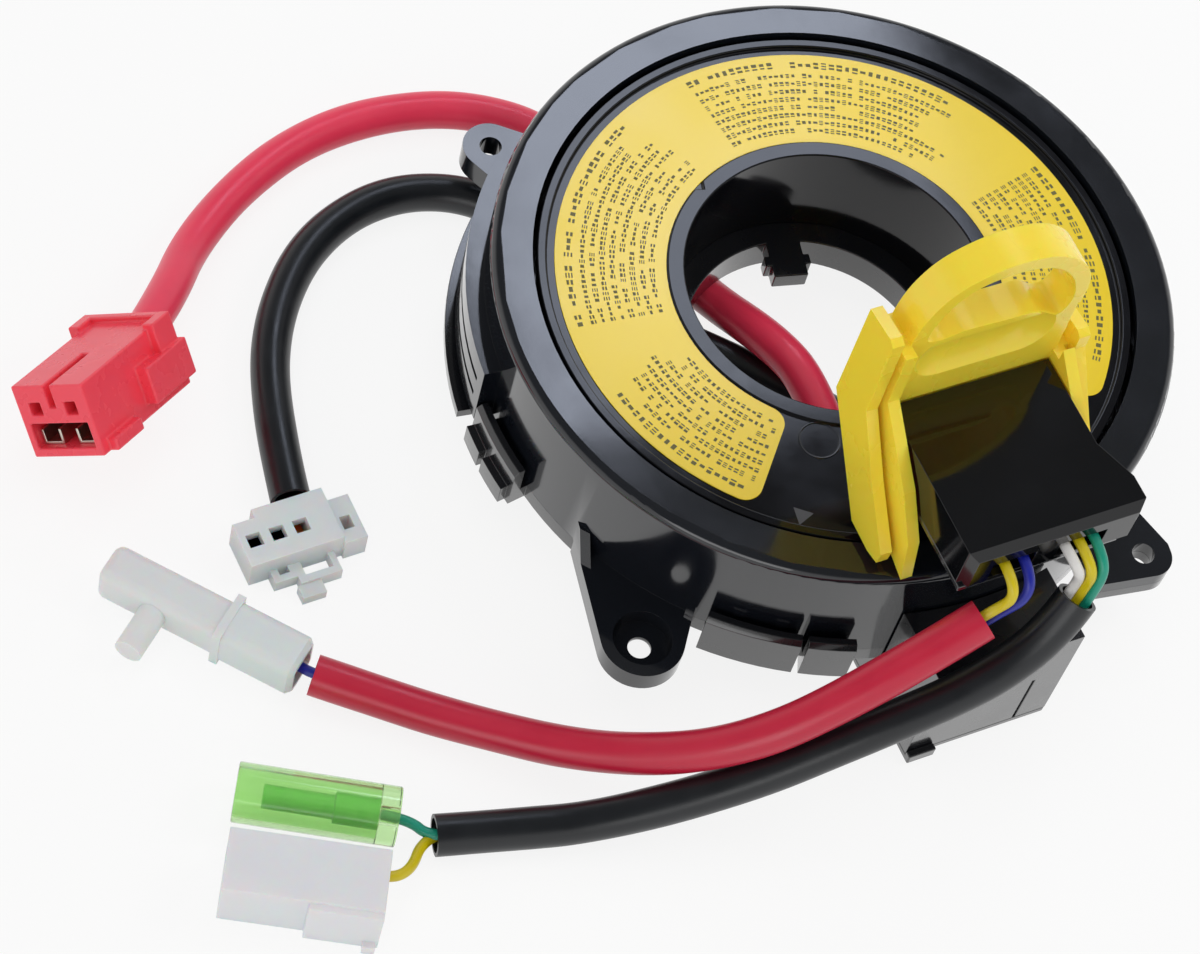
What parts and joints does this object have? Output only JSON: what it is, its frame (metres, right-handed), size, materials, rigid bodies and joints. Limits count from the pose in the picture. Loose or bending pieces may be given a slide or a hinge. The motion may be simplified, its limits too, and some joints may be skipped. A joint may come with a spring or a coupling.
{
  "type": "steering clock spring",
  "caption": "Rotary cable connector for a steering column: a turning hub with a connector block over a ribbon housing, with leads and a pull-off lock clip.",
  "frame": {"origin": "centre of the four ear screw holes, in the plane of the ear seats, on the hub axis", "axes": "+Z along the hub axis towards the steering wheel; X and Y square with the screw-hole rectangle; -Y towards the connector block"},
  "size_m": [0.1909, 0.155, 0.087],
  "materials": {
    "black_gloss": "gloss",
    "black_satin": "satin",
    "brass": "plain",
    "ribbon": "satin",
    "label": "satin",
    "clip_yellow": "semi-gloss",
    "sleeve_red": "satin",
    "sleeve_black": "satin",
    "wire_yellow": "semi-gloss",
    "wire_blue": "semi-gloss",
    "wire_white": "semi-gloss",
    "wire_green": "semi-gloss",
    "connector_red": "semi-gloss",
    "connector_white": "translucent",
    "sleeve_clear_green": "clear"
  },
  "bodies": {
    "housing": {"upper_housing": "black_gloss", "lower_cover": "black_gloss", "lead_box": "black_satin", "lead_box_lid": "black_satin", "outer_carrier": "black_satin", "outer_terminals": "brass", "ribbon_cable": "ribbon", "column_red_sleeve": "sleeve_red", "column_black_sleeve": "sleeve_black", "red_connector_housing": "connector_red", "red_connector_terminals": "brass", "three_way_housing": "connector_white", "three_way_terminals": "brass", "clear_connector_housing": "connector_white", "clear_connector_terminals": "brass", "clear_connector_wires": "wire_blue", "bullet_sleeve": "sleeve_clear_green", "bullet_terminal": "brass", "bullet_wire": "wire_green", "two_way_housing": "connector_white", "two_way_terminals": "brass", "two_way_wire": "wire_yellow"},
    "rotor": {"rotor_plate": "black_gloss", "drive_ring": "black_gloss", "face_label": "label", "inner_carrier": "black_satin", "inner_terminals": "brass", "connector_base": "black_satin", "connector_cover": "black_gloss", "wire_yellow_left": "wire_yellow", "wire_blue": "wire_blue", "wire_white": "wire_white", "wire_yellow_right": "wire_yellow", "wire_green": "wire_green", "wheel_red_sleeve": "sleeve_red", "wheel_black_sleeve": "sleeve_black"},
    "clip": {"lock_clip": "clip_yellow"}
  },
  "joints": [
    {"name": "rotor_turn", "type": "hinge", "parent": "housing", "child": "rotor", "pos_m": [0, 0, 0], "axis": [0, 0, 1], "range_deg": [-1368, 1368], "deforming": ["ribbon_cable", "wheel_red_sleeve", "wheel_black_sleeve"]},
    {"name": "clip_pull", "type": "slide", "parent": "rotor", "child": "clip", "axis": [-0.0957, 0.633, 0.7682], "range_m": [0, 0.035]}
  ]
}
